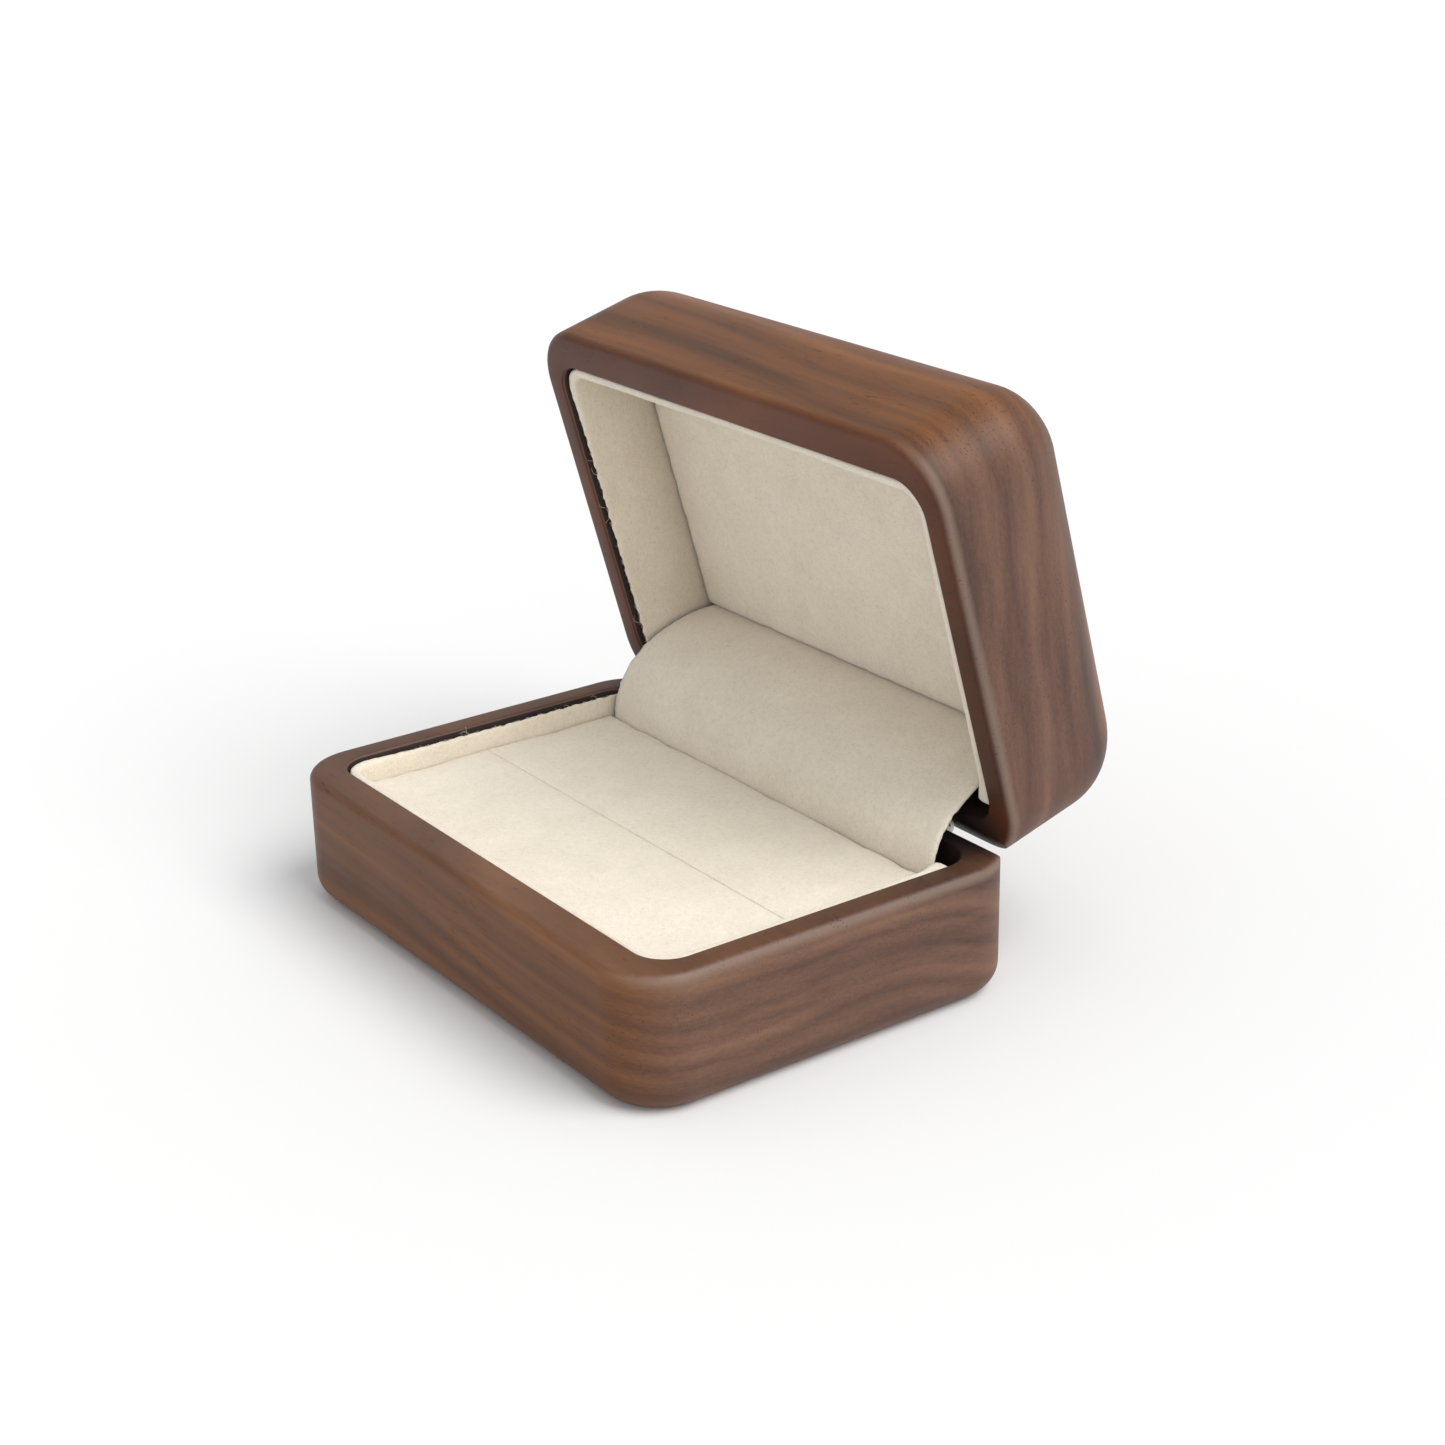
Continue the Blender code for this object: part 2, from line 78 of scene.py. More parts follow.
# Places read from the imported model
HINGE = next(joint for joint in frame["record"]["behaviour"]["joints"]
             if joint["name"] == "lid_hinge")
PIVOT = Vector(HINGE["pos_m"])
OPEN_ANGLE = math.radians(max(HINGE["range_deg"]))
SHUT_TO_OPEN = (Matrix.Translation(PIVOT) @ Matrix.Rotation(-OPEN_ANGLE, 4, "X")
                @ Matrix.Translation(-PIVOT))
BASE_LOW, BASE_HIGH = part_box("base_shell")
HALF_X = BASE_HIGH.x
HALF_Y = -BASE_LOW.y
BASE_RIM = BASE_HIGH.z

# Shell sizes
LID_HEIGHT = 20.6 * MM
LID_RIM = BASE_RIM + 0.3 * MM
LID_TOP = LID_RIM + LID_HEIGHT
SIDE_WALL = 3.4 * MM
END_WALL = 4.7 * MM
BASE_FLOOR = 4.0 * MM
LID_ROOF = 6.0 * MM
BASE_CORNER = 7.4 * MM
LID_CORNER = 7.9 * MM
LID_TOP_CORNER = 1.6 * MM
CAVITY_CORNER = 4.0 * MM
BASE_EDGE = 3.3 * MM
LID_EDGE = 9.5 * MM
RIM_ROUND = 1.0 * MM
INNER_RIM_ROUND = 0.35 * MM
BASE_BEVEL = (2.7 * MM, 2.0 * MM)
LID_BEVEL = (3.2 * MM, 1.85 * MM)
RELIEF = 1.5 * MM
RELIEF_FRONT = 4.75 * MM
RELIEF_REACH = 26.6 * MM
SANDED_EDGE = 0.14 * MM
SANDED_OVER_DEG = 32
SHARP_OVER_DEG = 38
CORNER_STEPS = 20
EDGE_STEPS = 20
RIM_STEPS = 5

# Lining sizes
LINED_X = HALF_X - SIDE_WALL - 1.6 * MM
LINED_Y = HALF_Y - END_WALL - 1.6 * MM
LINED_CORNER = 2.4 * MM
LINING_THICK = 0.5 * MM
LINING_LIP = 0.5 * MM
BASE_STRIP_ENDS = (20.2 * MM, 18.4 * MM)
LID_STRIP_ENDS = (20.2 * MM, 19.2 * MM)
LINING_FOLD = 0.88 * MM
FRONT_DIP = 0.35 * MM
FOLD_START = 8 * MM
FOLD_REACH = 13 * MM
LINING_STEP = 0.3 * MM
END_FLARE = 1.1 * MM
FLARE_REACH = 4.0 * MM
EDGE_WAVE = 0.10 * MM
EDGE_RAGGED = 0.20 * MM
EDGE_SWAY = 0.10 * MM
END_ROUND = 0.8 * MM
THIN_END = 0.3 * MM
EDGE_REACH = 1.7 * MM


# Mesh helpers

def add_piece(name, bm, material, body, opened=False):
    """New piece from a bmesh; opened pieces are drawn shut and turned with the lid."""
    bmesh.ops.recalc_face_normals(bm, faces=bm.faces)
    mesh = bpy.data.meshes.new(name)
    bm.to_mesh(mesh)
    bm.free()
    if opened:
        mesh.transform(SHUT_TO_OPEN)
    mesh.shade_smooth()
    mesh.materials.append(material)
    piece = bpy.data.objects.new(name, mesh)
    bpy.context.collection.objects.link(piece)
    if body:
        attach(piece, body)
    return piece


def skin(bm, rings):
    """Closed skin through rings of equal length, capped at both ends."""
    loops = [[bm.verts.new(point) for point in ring] for ring in rings]
    for lower, upper in zip(loops, loops[1:]):
        for index in range(len(lower)):
            following = (index + 1) % len(lower)
            bm.faces.new((lower[index], lower[following], upper[following], upper[index]))
    bm.faces.new(reversed(loops[0]))
    bm.faces.new(loops[-1])


def loft(rings):
    """New bmesh with one closed skin through the rings."""
    bm = bmesh.new()
    skin(bm, rings)
    return bm


def plan_ring(half_x, half_y, radius, z):
    """Rectangle with round corners, seen from above, at height z."""
    points = []
    for turn, (side_x, side_y) in enumerate(((1, 1), (-1, 1), (-1, -1), (1, -1))):
        for step in range(CORNER_STEPS + 1):
            angle = math.radians(90) * (turn + step / CORNER_STEPS)
            points.append(Vector((side_x * (half_x - radius) + radius * math.cos(angle),
                                  side_y * (half_y - radius) + radius * math.sin(angle), z)))
    return points


def extrude_x(outline, x_low, x_high):
    """Side-view outline of (y, z) points, drawn out along X."""
    return loft([[Vector((x, y, z)) for y, z in outline] for x in (x_low, x_high)])


def arc_points(centre, radius, start_deg, end_deg, count):
    """Points along an arc in a plane, both ends included."""
    turn = [math.radians(start_deg + (end_deg - start_deg) * i / count) for i in range(count + 1)]
    return [Vector((centre[0] + radius * math.cos(a), centre[1] + radius * math.sin(a)))
            for a in turn]


def modify(piece, kind, **settings):
    """New modifier with its settings."""
    modifier = piece.modifiers.new(kind.lower(), kind)
    for key, value in settings.items():
        setattr(modifier, key, value)
    return modifier


def freeze(piece):
    """Bake the modifiers into the mesh."""
    shown = bpy.context.evaluated_depsgraph_get()
    baked = bpy.data.meshes.new_from_object(piece.evaluated_get(shown), depsgraph=shown)
    piece.modifiers.clear()
    old = piece.data
    piece.data = baked
    bpy.data.meshes.remove(old)


# Node material helpers

class Shader:
    """Small wrapper that adds and links shader nodes by socket name."""

    def __init__(self, name):
        self.material = bpy.data.materials.new(name)
        self.material.use_nodes = True
        self.tree = self.material.node_tree
        self.surface = self.tree.nodes["Principled BSDF"]

    def node(self, kind, links=None, **settings):
        made = self.tree.nodes.new(kind)
        for key, value in settings.items():
            if key in made.bl_rna.properties:
                setattr(made, key, value)
            else:
                made.inputs[key.replace("_", " ").title()].default_value = value
        for socket, source in (links or {}).items():
            self.link(source, made, socket)
        return made

    def link(self, source, target, socket):
        output = source if isinstance(source, bpy.types.NodeSocket) else source.outputs[0]
        self.tree.links.new(output, target.inputs[socket])

    def coordinates(self, scale):
        place = self.node("ShaderNodeTexCoord")
        return self.mapping(place.outputs["Object"], Scale=scale)

    def mapping(self, vector, **settings):
        return self.node("ShaderNodeMapping", {"Vector": vector}, **settings)

    def separate(self, vector):
        return self.node("ShaderNodeSeparateXYZ", {"Vector": vector}).outputs

    def noise(self, vector, scale, detail=4.0, roughness=0.55, distortion=0.0):
        return self.node("ShaderNodeTexNoise", {"Vector": vector}, Scale=scale, Detail=detail,
                         Roughness=roughness, Distortion=distortion)

    def ramp(self, source, stops):
        made = self.node("ShaderNodeValToRGB", {"Fac": source})
        elements = made.color_ramp.elements
        while len(elements) < len(stops):
            elements.new(0.5)
        for element, (place, colour) in zip(elements, stops):
            element.position = place
            element.color = (*colour, 1.0) if len(colour) == 3 else (colour[0],) * 3 + (1.0,)
        return made

    def math(self, operation, first, second=0.0, clamp=False):
        made = self.node("ShaderNodeMath", operation=operation, use_clamp=clamp)
        for index, value in enumerate((first, second)):
            if isinstance(value, (int, float)):
                made.inputs[index].default_value = value
            else:
                self.link(value, made, index)
        return made

    def mix(self, factor, first, second, blend="MIX"):
        made = self.tree.nodes.new("ShaderNodeMix")
        made.data_type = "RGBA"
        made.blend_type = blend
        for index, value in ((0, factor), (6, first), (7, second)):
            if isinstance(value, (int, float)):
                made.inputs[index].default_value = value
            elif isinstance(value, tuple):
                made.inputs[index].default_value = (*value, 1.0)
            else:
                output = value if isinstance(value, bpy.types.NodeSocket) else value.outputs[0]
                self.tree.links.new(output, made.inputs[index])
        return made.outputs[2]

    def weighted(self, *shares):
        """Sum of outputs, each times its weight, as (output, weight) pairs."""
        total = None
        for output, weight in shares:
            part = self.math("MULTIPLY", output, weight)
            total = part if total is None else self.math("ADD", total, part)
        return total

    def bump(self, height, strength, distance):
        made = self.node("ShaderNodeBump", {"Height": height})
        made.inputs["Strength"].default_value = strength
        made.inputs["Distance"].default_value = distance
        self.link(made, self.surface, "Normal")
        return made

    def set(self, **values):
        for key, value in values.items():
            self.surface.inputs[key.replace("_", " ")].default_value = value


WALNUT_TONES = [(0.37, (0.066, 0.0265, 0.0099)), (0.45, (0.103, 0.0392, 0.0135)),
                (0.53, (0.148, 0.0560, 0.0180)), (0.64, (0.204, 0.0823, 0.0261))]
GRAIN_TILT = (math.radians(6), math.radians(-1.5), 0)
WARP_REACH = 13.0
BAND_SHARE = 0.54
FINE_BAND_SHARE = 0.09
STREAK_SHARE = 0.22
FIBRE_SHARE = 0.15
# Painted reflection haze: faces turned along X are tinted greyer and bluer
END_FACE_PAINTED_HAZE = (0.84, 1.15, 2.40)
# Painted light on the flat rims: a greyish painted reflection on the base's rim, painted shade on
# the lid's rim
BASE_RIM_PAINTED_SHEEN = (0.84, 1.0, 1.6)
LID_RIM_PAINTED_SHADE = (0.70, 0.52, 0.56)
# Colour and strength of the painted highlight on the rims' outer rounds
RIM_HIGHLIGHT_COLOUR = (0.24, 0.175, 0.14)
RIM_HIGHLIGHT_MOST = 0.58
PORE_COLOUR = (0.022, 0.010, 0.007)
# Colour of the painted shade on the hollows' walls and the rear bevels
HOLLOW_SHADE_COLOUR = (0.030, 0.021, 0.020)
SEAM = (BASE_RIM + LID_RIM) / 2


def walnut(name, opened, rim_light_tint):
    """Oiled walnut: layered growth bands, fine fibre streaks along X and short dark pores.

    The pattern is laid out on the shut box, so an opened piece turns its coordinates back.
    """
    s = Shader(name)
    place = s.node("ShaderNodeTexCoord").outputs["Object"]
    angle = OPEN_ANGLE if opened else 0.0
    back = Matrix.Translation(PIVOT) @ Matrix.Rotation(angle, 4, "X") @ Matrix.Translation(-PIVOT)
    shut = s.mapping(place, Location=back.translation / MM, Rotation=(angle, 0, 0),
                     Scale=IN_MILLIMETRES)
    millimetres = s.mapping(shut, Rotation=GRAIN_TILT)

    # Layers of the growth rings, bent by a slow warp, and finer grain stretched along X
    warp = s.noise(s.mapping(millimetres, Scale=(0.22, 0.50, 0.6)), 0.050, 2.0, 0.5)
    bent = s.math("ADD", s.separate(millimetres)["Z"], s.math("MULTIPLY", warp, WARP_REACH))
    layer = s.node("ShaderNodeCombineXYZ", {"X": bent})
    bands = s.noise(layer, 0.26, 1.5, 0.5)
    fine_bands = s.noise(layer, 1.15, 2.0, 0.55)
    streaks = s.noise(s.mapping(millimetres, Scale=(0.030, 0.12, 1.0)), 0.55, 3.0, 0.55, 0.15)
    fibre = s.noise(s.mapping(millimetres, Scale=(0.045, 0.55, 1.2)), 2.6, 4.0, 0.6, 0.2)
    pores = s.noise(s.mapping(millimetres, Scale=(0.16, 1.0, 1.0)), 4.2, 1.0, 0.4)
    where = s.noise(millimetres, 0.11, 2.0, 0.5)
    drift = s.noise(millimetres, 0.03, 2.0, 0.5)

    tone = s.weighted((bands, BAND_SHARE), (fine_bands, FINE_BAND_SHARE),
                      (streaks, STREAK_SHARE), (fibre, FIBRE_SHARE))
    hue = s.ramp(drift, [(0.35, (0.90, 0.88, 0.92)), (0.65, (1.08, 1.06, 1.0))])
    colour = s.mix(1.0, s.ramp(tone, WALNUT_TONES), hue, "MULTIPLY")
    # Painted reflection: a greyish haze on the faces turned along X, keyed to the surface normal
    facing_x = s.separate(s.node("ShaderNodeNewGeometry").outputs["Normal"])["X"]
    end_face_haze = s.math("POWER", s.math("ABSOLUTE", facing_x), 2.0)
    colour = s.mix(end_face_haze, colour, s.mix(1.0, colour, END_FACE_PAINTED_HAZE, "MULTIPLY"))
    # Painted light on the flat rims: painted reflection on the base's, painted shade on the lid's
    colour = s.mix(rim_light_share(s, shut), colour, s.mix(1.0, colour, rim_light_tint, "MULTIPLY"))
    # Painted highlight along the rims' outer rounds on the end faces
    colour = s.mix(rim_highlight_share(s, shut, facing_x), colour, RIM_HIGHLIGHT_COLOUR)
    pore_mask = s.ramp(pores, [(0.63, (0.0,)), (0.72, (1.0,))])
    pore_depth = s.ramp(where, [(0.42, (0.10,)), (0.62, (0.55,))])
    pore_share = s.math("MULTIPLY", pore_mask, pore_depth)
    colour = s.mix(pore_share, colour, PORE_COLOUR)
    # Painted shade: dark colour on the hollows' walls, rear bevels and hinge groove, where the
    # halves shade each other
    colour = s.mix(painted_hollow_shade(s, shut), colour, HOLLOW_SHADE_COLOUR)
    s.link(colour, s.surface, "Base Color")

    gloss = s.ramp(s.weighted((fibre, 0.6), (where, 0.4)), [(0.3, (0.38,)), (0.7, (0.52,))])
    s.link(gloss, s.surface, "Roughness")
    s.bump(s.math("SUBTRACT", s.math("MULTIPLY", fibre, 0.25), pore_share), 0.30, 0.10 * MM)
    s.set(Specular_IOR_Level=0.26)
    return s.material


def seam_distance(s, shut):
    """Distance from the seam between the shut halves, in millimetres."""
    return s.math("ABSOLUTE", s.math("SUBTRACT", s.separate(shut)["Z"], SEAM / MM))


def rim_light_share(s, shut):
    """One on the flat rims, which carry painted light, fading over their rounds: a painted greyish
    reflection on the base's rim and painted shade on the lid's.
    """
    flat, fade = 0.22, 0.6
    past_flat = s.math("SUBTRACT", seam_distance(s, shut), flat)
    return s.math("SUBTRACT", 1.0, s.math("DIVIDE", past_flat, fade, clamp=True), clamp=True)


def rim_highlight_share(s, shut, facing_x):
    """Painted highlight: pale band where the rims round over into the end faces."""
    start, rise, end, fall = 0.2, 0.3, 1.7, 0.9
    from_seam = seam_distance(s, shut)
    rising = s.math("DIVIDE", s.math("SUBTRACT", from_seam, start), rise, clamp=True)
    falling = s.math("DIVIDE", s.math("SUBTRACT", end, from_seam), fall, clamp=True)
    facing_end = s.math("MULTIPLY", s.math("ABSOLUTE", facing_x), RIM_HIGHLIGHT_MOST)
    return s.math("MULTIPLY", s.math("MULTIPLY", rising, falling), facing_end)


# Reach and strength of the painted shade in the hollows and along the rear bevels
SHADE_END = 36.6 * MM
SHADE_FADE = 4.6 * MM
HINGE_SHADE = 28.0 * MM
HINGE_SHADE_DEPTH = 3.0 * MM
WALL_SHADE = 0.90
BEVEL_SHADE = 0.92


def painted_hollow_shade(s, shut):
    """Share of painted shade, where the two halves keep light out: full on the hollows' walls,
    fading out along the rear bevels.
    """
    apart = s.separate(shut)
    x, y, z = (apart[axis] for axis in "XYZ")
    from_middle = s.math("ABSOLUTE", x)
    from_seam = seam_distance(s, shut)
    skin_depth = 0.1 * MM
    rim_depth = 0.45 * MM

    def inside(value, low, high):
        above = s.math("GREATER_THAN", value, low / MM)
        return s.math("MULTIPLY", above, s.math("LESS_THAN", value, high / MM))

    wall_x = HALF_X - SIDE_WALL + skin_depth
    wall_y = HALF_Y - END_WALL + skin_depth
    walls = s.math("MULTIPLY", inside(x, -wall_x, wall_x), inside(y, -wall_y, wall_y))
    lowest, highest = BASE_FLOOR - 0.5 * MM, LID_TOP - LID_ROOF + 0.5 * MM
    walls = s.math("MULTIPLY", walls, inside(z, lowest, highest))
    walls = s.math("MULTIPLY", walls, inside(from_seam, rim_depth, LID_HEIGHT))

    # The painted shade follows the bevel's slope, so that it stays off the round outer corners
    along_bevel = s.math("SUBTRACT", y, (HALF_Y - BASE_BEVEL[0]) / MM)
    slope_depth = s.math("MULTIPLY", along_bevel, BASE_BEVEL[1] / BASE_BEVEL[0])
    slope_depth = s.math("ADD", slope_depth, rim_depth / MM)
    hinge_depth = s.math("MULTIPLY", s.math("LESS_THAN", from_middle, HINGE_SHADE / MM),
                         HINGE_SHADE_DEPTH / MM)
    deepest = s.math("MAXIMUM", s.math("MAXIMUM", slope_depth, hinge_depth), rim_depth / MM)
    bevel = s.math("MULTIPLY", inside(y, HALF_Y - END_WALL - 2 * MM, HALF_Y - 0.12 * MM),
                   s.math("LESS_THAN", from_seam, deepest))
    to_end = s.math("SUBTRACT", SHADE_END / MM, from_middle)
    fade = s.math("DIVIDE", to_end, SHADE_FADE / MM, clamp=True)
    bevel = s.math("MULTIPLY", bevel, s.math("MULTIPLY", fade, BEVEL_SHADE))
    return s.math("MAXIMUM", s.math("MULTIPLY", walls, WALL_SHADE), bevel)


SUEDE_COLOUR = (0.795, 0.725, 0.612)


def suede(name):
    """Short-napped cloth: fine fuzz, faint brushed patches and a soft sheen."""
    s = Shader(name)
    millimetres = s.coordinates(IN_MILLIMETRES)
    fuzz = s.noise(millimetres, 4.5, 4.0, 0.7, 0.6)
    weave = s.noise(millimetres, 1.7, 3.0, 0.65, 1.0)
    patches = s.noise(millimetres, 0.16, 3.0, 0.55)
    light = tuple(channel * 1.06 for channel in SUEDE_COLOUR)
    dark = tuple(channel * 0.86 for channel in SUEDE_COLOUR)
    mottled = s.ramp(s.weighted((fuzz, 0.5), (weave, 0.5)),
                     [(0.34, dark), (0.50, SUEDE_COLOUR), (0.66, light)])
    brushed = s.ramp(patches, [(0.35, (0.965, 0.96, 0.95)), (0.65, (1.02, 1.02, 1.02))])
    s.link(s.mix(1.0, mottled, brushed, "MULTIPLY"), s.surface, "Base Color")
    s.bump(s.weighted((fuzz, 0.7), (weave, 1.0)), 0.6, 0.20 * MM)
    s.set(Roughness=0.94, Specular_IOR_Level=0.18, Sheen_Weight=0.35, Sheen_Roughness=0.5)
    return s.material


def greyboard():
    """Dark pressed board with paler flecks."""
    s = Shader("grey_card")
    flecks = s.noise(s.coordinates(IN_MILLIMETRES), 3.0, 4.0, 0.7)
    flecked = s.ramp(flecks, [(0.35, (0.035, 0.032, 0.030)), (0.6, (0.065, 0.060, 0.055)),
                              (0.75, (0.12, 0.11, 0.10))])
    s.link(flecked, s.surface, "Base Color")
    s.bump(flecks, 0.3, 0.10 * MM)
    s.set(Roughness=0.88, Specular_IOR_Level=0.25)
    return s.material


def metal(name, dark, light, roughness):
    """Plain metal with faint lengthwise brushing and dull spots."""
    s = Shader(name)
    brushed = s.noise(s.coordinates((120, 1800, 1800)), 2.0, 4.0, 0.6)
    spots = s.noise(s.coordinates(IN_MILLIMETRES), 0.8, 3.0, 0.6)
    s.link(s.ramp(spots, [(0.35, dark), (0.62, light)]), s.surface, "Base Color")
    gloss = s.ramp(brushed, [(0.3, (roughness - 0.08,)), (0.7, (roughness + 0.1,))])
    s.link(gloss, s.surface, "Roughness")
    s.bump(brushed, 0.15, 0.03 * MM)
    s.set(Metallic=1.0)
    return s.material


# Wooden shells

def shell(height, floor, edge_radius, corner_radius, top_corner):
    """Rings of an open cup, from the outer foot over the rim and down to the cavity floor."""
    rings = []

    def add(inset_x, inset_y, radius, z):
        rings.append(plan_ring(HALF_X - inset_x, HALF_Y - inset_y, radius, z))

    for step in range(EDGE_STEPS + 1):
        angle = math.radians(90) * step / EDGE_STEPS
        inset = edge_radius * (1 - math.sin(angle))
        radius = corner_radius - (corner_radius - top_corner) * inset / edge_radius
        add(inset, inset, radius, edge_radius * (1 - math.cos(angle)))
    for step in range(RIM_STEPS + 1):
        angle = math.radians(90) * step / RIM_STEPS
        inset = RIM_ROUND * (1 - math.cos(angle))
        add(inset, inset, corner_radius - inset, height - RIM_ROUND * (1 - math.sin(angle)))
    for step in range(RIM_STEPS + 1):
        angle = math.radians(90) * step / RIM_STEPS
        outward = INNER_RIM_ROUND * (1 - math.sin(angle))
        add(SIDE_WALL - outward, END_WALL - outward, CAVITY_CORNER + outward,
            height - INNER_RIM_ROUND * (1 - math.cos(angle)))
    add(SIDE_WALL, END_WALL, CAVITY_CORNER, floor)
    return rings


def cut_away(piece, bm, opened):
    """Cut a closed shape out of the piece; an opened shape is drawn shut and turned first."""
    cutter = bpy.data.objects.new("cutter", bpy.data.meshes.new("cutter"))
    bmesh.ops.recalc_face_normals(bm, faces=bm.faces)
    bm.to_mesh(cutter.data)
    bm.free()
    bpy.context.collection.objects.link(cutter)
    if opened:
        cutter.data.transform(SHUT_TO_OPEN)
    modify(piece, "BOOLEAN", operation="DIFFERENCE", solver="EXACT", object=cutter)
    bpy.context.view_layer.update()
    freeze(piece)
    bpy.data.objects.remove(cutter)


def bevel_wedge(rim, along_rim, down_face, up):
    """Wedge over the rear edge of a rim; up is 1 for the base's rim and -1 for the lid's."""
    slope = down_face / along_rim
    spare = 4 * MM
    return extrude_x([(HALF_Y - along_rim - spare, rim + up * slope * spare),
                      (HALF_Y + spare, rim - up * slope * (along_rim + spare)),
                      (HALF_Y + spare, rim + up * slope * spare)], -2 * HALF_X, 2 * HALF_X)


def hinge_relief():
    """Round-backed groove that the hinge's knuckles lie in, open to the hollow."""
    outline = [(PIVOT.y - RELIEF_FRONT, PIVOT.z - RELIEF)]
    outline += arc_points((PIVOT.y, PIVOT.z), RELIEF, -90, 90, 24)
    outline.append((PIVOT.y - RELIEF_FRONT, PIVOT.z + RELIEF))
    return extrude_x(outline, -RELIEF_REACH, RELIEF_REACH)


def soften_cut_edges(piece):
    """Tiny sanded edge along the cuts, and shading that keeps the rest smooth."""
    modify(piece, "BEVEL", width=SANDED_EDGE, segments=2, limit_method="ANGLE",
           angle_limit=math.radians(SANDED_OVER_DEG), use_clamp_overlap=True, harden_normals=False)
    bpy.context.view_layer.update()
    freeze(piece)
    piece.data.shade_smooth()
    piece.data.set_sharp_from_angle(angle=math.radians(SHARP_OVER_DEG))


def make_shells():
    """Wooden base and lid: lofted cups with their rear bevels and hinge grooves cut away."""
    wood = walnut("walnut_base_wood", False, BASE_RIM_PAINTED_SHEEN)
    rings = shell(BASE_RIM, BASE_FLOOR, BASE_EDGE, BASE_CORNER, BASE_CORNER - BASE_EDGE)
    base = add_piece("walnut_base", loft(rings), wood, "base")
    cut_away(base, bevel_wedge(BASE_RIM, *BASE_BEVEL, 1), False)
    cut_away(base, hinge_relief(), False)
    soften_cut_edges(base)
    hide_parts("base_shell")

    wood = walnut("walnut_lid_wood", True, LID_RIM_PAINTED_SHADE)
    rings = shell(LID_HEIGHT, LID_ROOF, LID_EDGE, LID_CORNER, LID_TOP_CORNER)
    flipped = [[Vector((p.x, p.y, LID_TOP - p.z)) for p in ring] for ring in rings]
    lid = add_piece("walnut_lid", loft(flipped), wood, "lid", opened=True)
    cut_away(lid, bevel_wedge(LID_RIM, *LID_BEVEL, -1), True)
    cut_away(lid, hinge_relief(), True)
    soften_cut_edges(lid)
    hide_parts("lid_shell")


# Lining strips

def strip_path(ends):
    """Plan line of the strip's inner face, from the rear left round the front to the rear right."""
    centre_x, centre_y = LINED_X - LINED_CORNER, -(LINED_Y - LINED_CORNER)
    corner = [Vector((-LINED_X, ends[0]))]
    corner += arc_points((-centre_x, centre_y), LINED_CORNER, 180, 270, 12)
    corner += arc_points((centre_x, centre_y), LINED_CORNER, 270, 360, 12)
    corner.append(Vector((LINED_X, ends[1])))
    return resample(corner, LINING_STEP)


def resample(line, step):
    """Points at even spacing along a polyline."""
    lengths = [0.0]
    for before, after in zip(line, line[1:]):
        lengths.append(lengths[-1] + (after - before).length)
    count = max(2, round(lengths[-1] / step))
    points = []
    segment = 0
    for index in range(count + 1):
        at = lengths[-1] * index / count
        while segment < len(line) - 2 and lengths[segment + 1] < at:
            segment += 1
        share = (at - lengths[segment]) / max(lengths[segment + 1] - lengths[segment], 1e-9)
        points.append(line[segment].lerp(line[segment + 1], min(1.0, share)))
    return points


def ease(share):
    """Smooth step from 0 to 1."""
    share = min(1.0, max(0.0, share))
    return share * share * (3 - 2 * share)


def strip_bmesh(path, foot, lip, rim_is_up, seed):
    """Cloth strip round the cavity with a slightly uneven cut edge and round rear ends.

    On the left it stands off the wood with a ragged edge. Round the front and the right its
    edge is folded over towards the wood, and its right rear end is thickened by the fold.
    """
    total = LINING_STEP * (len(path) - 1)
    upward = 1.0 if rim_is_up else -1.0
    rings = []
    for index, point in enumerate(path):
        before = path[max(index - 1, 0)]
        after = path[min(index + 1, len(path) - 1)]
        along = (after - before).normalized()
        outward = Vector((along.y, -along.x))
        travelled = LINING_STEP * index
        wave = noise.noise(Vector((travelled * 90, seed, 0))) * EDGE_WAVE
        ragged = noise.noise(Vector((travelled * 1100, seed + 5, 0))) * EDGE_RAGGED
        sway = noise.noise(Vector((travelled * 60, seed + 9, 0))) * EDGE_SWAY
        fold_share = ease((travelled - LINED_Y - FOLD_START) / FOLD_REACH)
        fold = LINING_FOLD * fold_share
        flare = END_FLARE * ease((travelled - total + FLARE_REACH) / FLARE_REACH)
        from_end = min(travelled, total - travelled)
        drop = 0.0
        if from_end < END_ROUND:
            drop = END_ROUND - math.sqrt(END_ROUND ** 2 - (END_ROUND - from_end) ** 2)
        dip = FRONT_DIP * fold_share * ease(1 - abs(travelled - total / 2) / (HALF_X + 2 * MM))
        top = lip + upward * (wave + ragged * (1 - 0.7 * fold_share) - drop - dip)
        thick = LINING_THICK
        if from_end < THIN_END:
            thick *= 0.55 + 0.45 * from_end / THIN_END
        ring = []
        for offset, z in strip_profile(thick, foot, top, upward):
            near_top = ease(1 - abs(z - lip) / EDGE_REACH)
            across = offset / LINING_THICK
            bend = sway + fold * across - flare * (1 - across)
            place = point + outward * (offset + bend * near_top)
            ring.append(Vector((place.x, place.y, z)))
        rings.append(ring)
    return loft(rings)


def strip_profile(thick, foot, top, upward):
    """Cross-section of a strip as (offset, z): up its inner face, over the edge and down."""
    deep = [top - upward * depth * MM for depth in (2.6, 1.9, 1.5, 1.1, 0.7)]
    edge = [(share * thick, top - upward * below * MM)
            for share, below in ((0.0, 0.35), (0.10, 0.14), (0.30, 0.02), (0.70, 0.0),
                                 (0.92, 0.12), (1.0, 0.35))]
    return ([(0.0, foot)] + [(0.0, z) for z in deep] + edge
            + [(thick, z) for z in reversed(deep)] + [(thick, foot)])


